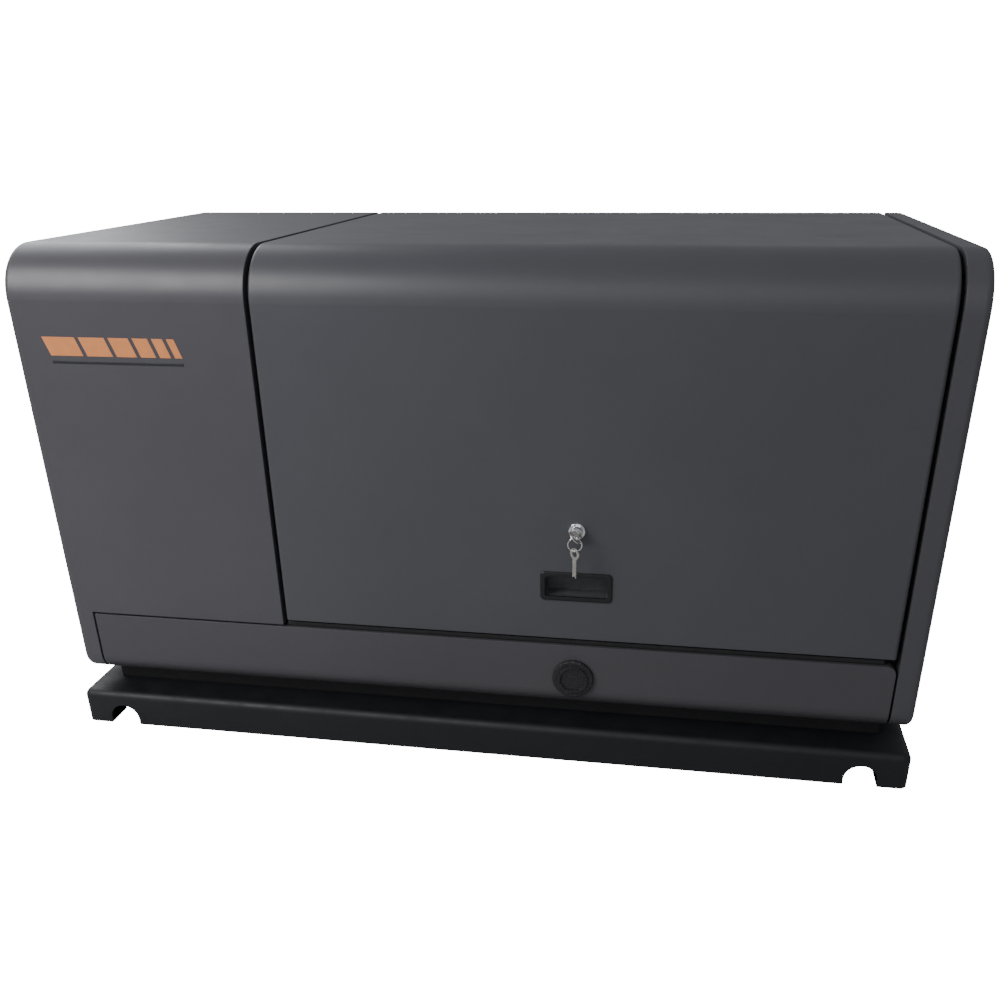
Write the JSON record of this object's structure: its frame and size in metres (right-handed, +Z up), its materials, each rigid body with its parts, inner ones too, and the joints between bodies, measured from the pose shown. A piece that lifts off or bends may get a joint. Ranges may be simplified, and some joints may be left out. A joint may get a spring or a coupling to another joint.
{
  "type": "home standby generator",
  "caption": "Low sheet-metal home standby generator on a skid, with a gull-wing hood, lock, flush pull, gas engine and alternator inside.",
  "frame": {"origin": "centre of the four anchor holes, on the ground under the base skid", "axes": "+X along the cabinet to its right-hand end seen from the front, +Y from the front to the back, +Z up"},
  "size_m": [1.206, 0.659, 0.685],
  "materials": {
    "cabinet_paint": "satin dark grey powder coat",
    "hood_paint": "satin dark grey powder coat",
    "sill_paint": "satin dark grey powder coat",
    "base_paint": "black semi-gloss paint",
    "frame_paint": "black satin paint",
    "zinc": "zinc plated",
    "chrome": "polished",
    "key_steel": "nickel plated, worn",
    "cast_aluminium": "as cast",
    "dark_iron": "dark enamel",
    "muffler_steel": "heat stained",
    "shaft_steel": "ground",
    "rubber": "matt",
    "foam": "open cell foam",
    "black_plastic": "fine texture",
    "grey_plastic": "fine texture",
    "display_glass": "gloss window",
    "red_plastic": "gloss",
    "green_plastic": "gloss",
    "yellow_plastic": "gloss",
    "gas_yellow": "semi-gloss",
    "copper": "lacquered windings"
  },
  "bodies": {
    "cabinet": {"base_tray": "base_paint", "base_cross_members": "base_paint", "plinth_frame": "frame_paint", "floor_pan": "frame_paint", "left_cover": "cabinet_paint", "right_end_cap": "cabinet_paint", "left_louvre_panel": "cabinet_paint", "right_louvre_panel": "cabinet_paint", "rear_panel": "cabinet_paint", "front_sill": "sill_paint", "panel_screws": "zinc", "opening_frame": "frame_paint", "bulkhead": "frame_paint", "hood_seal": "rubber", "hinge_fixed_leaf": "frame_paint", "hinge_pin": "shaft_steel", "cable_plug": "black_plastic", "crankcase": "cast_aluminium", "cylinders": "dark_iron", "rocker_covers": "cast_aluminium", "blower_housing": "black_plastic", "gas_mixer": "cast_aluminium", "air_cleaner": "black_plastic", "muffler": "muffler_steel", "starter_motor": "dark_iron", "oil_filter": "gas_yellow", "alternator_housing": "cast_aluminium", "alternator_stator": "copper", "engine_bed": "frame_paint", "vibration_mounts": "rubber", "battery": "black_plastic", "battery_leads": "rubber", "gas_inlet_pipe": "gas_yellow", "gas_regulator": "cast_aluminium", "gas_hose": "rubber", "control_box": "grey_plastic", "display": "display_glass", "output_breaker": "black_plastic", "wiring_lead": "rubber"},
    "hood": {"hood_skin": "hood_paint", "hood_liner": "foam", "hinge_moving_leaf": "frame_paint", "flush_pull": "black_plastic", "lock_barrel": "chrome"},
    "lock": {"lock_plug": "chrome", "key": "key_steel"},
    "key_ring": {"key_ring": "chrome"},
    "spare_key": {"spare_key": "key_steel"},
    "latch_rod": {"latch_rod": "zinc"},
    "strut_tubes": {"strut_tubes": "frame_paint"},
    "strut_rods": {"strut_rods": "chrome"},
    "crank": {"crankshaft": "shaft_steel", "flywheel_fan": "cast_aluminium", "alternator_rotor": "copper"},
    "dipstick": {"dipstick": "yellow_plastic"},
    "gas_valve_lever": {"gas_valve_lever": "yellow_plastic"},
    "breaker_toggle": {"breaker_toggle": "black_plastic"},
    "start_button": {"start_button": "green_plastic"},
    "stop_button": {"stop_button": "red_plastic"},
    "auto_button": {"auto_button": "grey_plastic"}
  },
  "joints": [
    {"name": "hood_hinge", "type": "hinge", "parent": "cabinet", "child": "hood", "pos_m": [0.15, 0.294, 0.676], "axis": [-1, 0, 0], "range_deg": [0, 70]},
    {"name": "lock_turn", "type": "hinge", "parent": "hood", "child": "lock", "pos_m": [0.145, -0.3025, 0.343], "axis": [0, 1, 0], "range_deg": [0, 90]},
    {"name": "key_ring_hang", "type": "hinge", "parent": "lock", "child": "key_ring", "pos_m": [0.145, -0.328, 0.343], "axis": [0, 1, 0], "range_deg": [-91, 0]},
    {"name": "spare_key_swing", "type": "hinge", "parent": "key_ring", "child": "spare_key", "pos_m": [0.145, -0.328, 0.3211], "axis": [0.6428, 0.766, 0], "range_deg": [-30, 30]},
    {"name": "latch_slide", "type": "slide", "parent": "hood", "child": "latch_rod", "axis": [0, 0, -1], "range_m": [0, 0.014]},
    {"name": "strut_swing", "type": "hinge", "parent": "cabinet", "child": "strut_tubes", "pos_m": [0.15, 0.25, 0.62], "axis": [-1, 0, 0], "range_deg": [0, 71]},
    {"name": "strut_stroke", "type": "slide", "parent": "strut_tubes", "child": "strut_rods", "axis": [0, -0.9954, 0.0963], "range_m": [0, 0.0825]},
    {"name": "crank_spin", "type": "hinge", "parent": "cabinet", "child": "crank", "pos_m": [0, 0.02, 0.27], "axis": [1, 0, 0], "continuous": true},
    {"name": "dipstick_pull", "type": "slide", "parent": "cabinet", "child": "dipstick", "axis": [0, 0, 1], "range_m": [0, 0.15]},
    {"name": "gas_valve_turn", "type": "hinge", "parent": "cabinet", "child": "gas_valve_lever", "pos_m": [0.518, -0.12, 0.1645], "axis": [0, 0, 1], "range_deg": [0, 90]},
    {"name": "breaker_throw", "type": "hinge", "parent": "cabinet", "child": "breaker_toggle", "pos_m": [0.48, -0.262, 0.47], "axis": [1, 0, 0], "range_deg": [0, 40]},
    {"name": "start_press", "type": "slide", "parent": "cabinet", "child": "start_button", "axis": [0, 1, 0], "range_m": [0, 0.0025], "stiffness_N_per_m": 300, "springref_m": -0.001},
    {"name": "stop_press", "type": "slide", "parent": "cabinet", "child": "stop_button", "axis": [0, 1, 0], "range_m": [0, 0.0025], "stiffness_N_per_m": 300, "springref_m": -0.001},
    {"name": "auto_press", "type": "slide", "parent": "cabinet", "child": "auto_button", "axis": [0, 1, 0], "range_m": [0, 0.0025], "stiffness_N_per_m": 300, "springref_m": -0.001}
  ],
  "couplings": [
    {"joint": "lock_turn", "follows": "latch_slide", "rad_per_m": 112.19},
    {"joint": "key_ring_hang", "follows": "latch_slide", "rad_per_m": -112.19},
    {"joint": "strut_swing", "follows": "hood_hinge", "ratio": 0.99296},
    {"joint": "strut_stroke", "follows": "hood_hinge", "m_per_rad": 0.066825}
  ]
}
